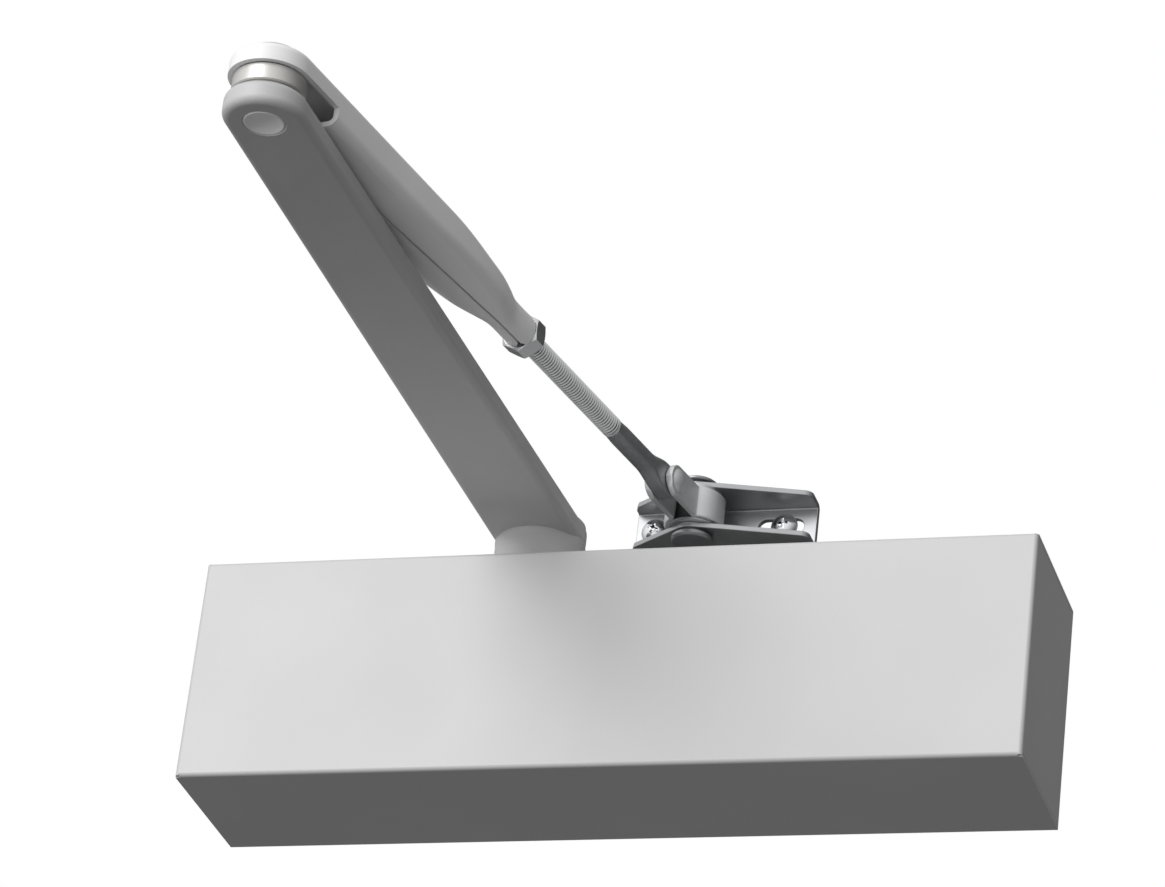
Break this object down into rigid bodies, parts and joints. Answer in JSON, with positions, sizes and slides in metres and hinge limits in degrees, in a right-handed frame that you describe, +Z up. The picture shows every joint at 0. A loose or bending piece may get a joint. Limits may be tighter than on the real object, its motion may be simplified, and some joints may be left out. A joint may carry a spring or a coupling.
{
  "type": "door closer",
  "caption": "Surface-mounted rack-and-pinion door closer: long box cover, flat main arm, pressed forearm with adjustable threaded rod, and a frame shoe.",
  "frame": {"origin": "on the door face, behind the spindle's centreline, at the cover's mid height", "axes": "+X along the cover towards its long end, +Y into the door, square to it, +Z up along the spindle towards the arm"},
  "size_m": [0.3, 0.3488, 0.1312],
  "materials": {
    "cover_paint": "silver powder coat, satin",
    "arm_paint": "silver-grey textured paint",
    "cast_body": "die-cast, tumbled",
    "zinc_steel": "zinc plated",
    "bare_steel": "ground and hardened",
    "chrome_steel": "bright chrome",
    "spring_steel": "shot-peened, phosphated",
    "brass": "turned",
    "seal_rubber": "moulded nitrile",
    "nylon": "moulded acetal"
  },
  "bodies": {
    "closer_body": {"body_casting": "cast_body", "valve_end_cap": "zinc_steel", "spring_end_cap": "zinc_steel", "end_cap_rings": "seal_rubber", "upper_bearing": "bare_steel", "lower_bearing": "bare_steel", "upper_bearing_nut": "zinc_steel", "lower_bearing_nut": "zinc_steel", "spindle_seals": "seal_rubber", "valve_rings": "seal_rubber", "cover_clips": "spring_steel"},
    "cover": {"cover": "cover_paint"},
    "closing_valve": {"closing_valve": "brass"},
    "latching_valve": {"latching_valve": "brass"},
    "backcheck_valve": {"backcheck_valve": "brass"},
    "piston": {"piston": "bare_steel", "piston_ring": "nylon", "check_valve_seat": "brass"},
    "check_ball": {"check_valve_ball": "chrome_steel"},
    "spring_seat": {"spring_seat": "bare_steel", "outer_spring": "spring_steel", "inner_spring": "spring_steel"},
    "adjusting_screw": {"adjusting_screw": "zinc_steel"},
    "main_arm": {"pinion_spindle": "bare_steel", "main_arm": "arm_paint", "arm_washer": "zinc_steel", "arm_screw": "zinc_steel", "elbow_rivet": "arm_paint"},
    "forearm": {"elbow_bush": "arm_paint", "elbow_washer": "nylon", "forearm_channel": "arm_paint"},
    "rod": {"threaded_rod": "zinc_steel"},
    "lock_nut": {"lock_nut": "zinc_steel"},
    "knuckle": {"knuckle_strap": "arm_paint", "knuckle_rivet": "arm_paint", "pin_bush": "nylon"},
    "shoe": {"shoe_bracket": "arm_paint", "shoe_pin": "arm_paint", "shoe_washers": "zinc_steel", "shoe_screws": "chrome_steel"}
  },
  "joints": [
    {"name": "spindle_turn", "type": "hinge", "parent": "closer_body", "child": "main_arm", "pos_m": [0, -0.0295, 0.05], "axis": [0, 0, 1], "range_deg": [0, 170], "stiffness_Nm_per_rad": 6, "springref_deg": -17.19},
    {"name": "piston_slide", "type": "slide", "parent": "closer_body", "child": "piston", "axis": [1, 0, 0], "range_m": [0, 0.0298], "deforming": ["outer_spring", "inner_spring"]},
    {"name": "check_ball_lift", "type": "slide", "parent": "piston", "child": "check_ball", "axis": [1, 0, 0], "range_m": [0, 0.001]},
    {"name": "adjusting_screw_turn", "type": "hinge", "parent": "closer_body", "child": "adjusting_screw", "pos_m": [0.172, -0.0295, 0], "axis": [1, 0, 0], "range_deg": [0, 3241]},
    {"name": "spring_seat_slide", "type": "slide", "parent": "closer_body", "child": "spring_seat", "axis": [-1, 0, 0], "range_m": [0, 0.0135]},
    {"name": "closing_valve_turn", "type": "hinge", "parent": "closer_body", "child": "closing_valve", "pos_m": [-0.0915, -0.0295, 0.01], "axis": [1, 0, 0], "range_deg": [-360, 360]},
    {"name": "latching_valve_turn", "type": "hinge", "parent": "closer_body", "child": "latching_valve", "pos_m": [-0.0915, -0.02084, -0.005], "axis": [1, 0, 0], "range_deg": [-360, 360]},
    {"name": "backcheck_valve_turn", "type": "hinge", "parent": "closer_body", "child": "backcheck_valve", "pos_m": [-0.0915, -0.03816, -0.005], "axis": [1, 0, 0], "range_deg": [-360, 360]},
    {"name": "cover_pull", "type": "slide", "parent": "closer_body", "child": "cover", "axis": [0, -1, 0], "range_m": [0, 0.09]},
    {"name": "elbow_turn", "type": "hinge", "parent": "main_arm", "child": "forearm", "pos_m": [-0.00572, -0.31184, 0.075], "axis": [0, 0, 1], "range_deg": [-160, 5]},
    {"name": "rod_adjust", "type": "slide", "parent": "forearm", "child": "rod", "axis": [0.1889, 0.982, 0], "range_m": [0, 0.02]},
    {"name": "lock_nut_turn", "type": "hinge", "parent": "rod", "child": "lock_nut", "pos_m": [0.02648, -0.14451, 0.0777], "axis": [0.1889, 0.982, 0], "range_deg": [-720, 720]},
    {"name": "knuckle_tilt", "type": "hinge", "parent": "rod", "child": "knuckle", "pos_m": [0.04686, -0.03855, 0.0777], "axis": [0.982, -0.1889, 0], "range_deg": [-20, 20]},
    {"name": "shoe_turn", "type": "hinge", "parent": "knuckle", "child": "shoe", "pos_m": [0.0513, -0.01548, 0.0777], "axis": [0, 0, 1], "range_deg": [-58, 38]}
  ],
  "couplings": [
    {"joint": "piston_slide", "follows": "spindle_turn", "m_per_rad": 0.01},
    {"joint": "adjusting_screw_turn", "follows": "spring_seat_slide", "rad_per_m": 4188.8}
  ]
}
